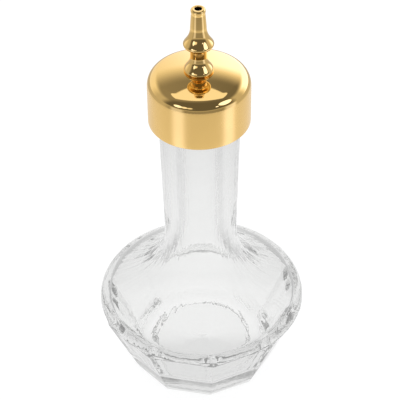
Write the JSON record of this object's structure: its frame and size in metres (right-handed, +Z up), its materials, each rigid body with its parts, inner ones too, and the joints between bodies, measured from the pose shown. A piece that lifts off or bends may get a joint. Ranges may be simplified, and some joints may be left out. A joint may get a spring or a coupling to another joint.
{
  "type": "bitters bottle",
  "caption": "Faceted clear glass bitters bottle with a polished gold metal dasher top that lifts off with its sealing plug.",
  "frame": {"origin": "centre of the base, on the surface that the bottle stands on", "axes": "+Z up along the bottle's axis, towards the spout; -Y towards one corner between two facets"},
  "size_m": [0.0665, 0.0664, 0.1359],
  "materials": {
    "clear_glass": "clear, fire-polished",
    "gold_plate": "mirror-polished gold plate",
    "liner_plastic": "moulded, matte",
    "plug_plastic": "moulded, satin",
    "soft_seal": "soft, translucent white",
    "inner_metal": "plain machined"
  },
  "bodies": {
    "bottle": {"glass_bottle": "clear_glass"},
    "stopper": {"stopper_plug": "plug_plastic", "sealing_rings": "soft_seal", "sealing_gasket": "soft_seal"},
    "metal_top": {"cap_shell": "gold_plate", "cap_liner": "liner_plastic", "dasher_spout": "gold_plate", "stem_washer": "inner_metal", "stem_nut": "inner_metal"}
  },
  "joints": [
    {"name": "top_lift", "type": "slide", "parent": "bottle", "child": "stopper", "axis": [0, 0, 1], "range_m": [0, 0.03]},
    {"name": "cap_turn", "type": "hinge", "parent": "stopper", "child": "metal_top", "pos_m": [0, 0, 0.11], "axis": [0, 0, 1], "continuous": true}
  ]
}
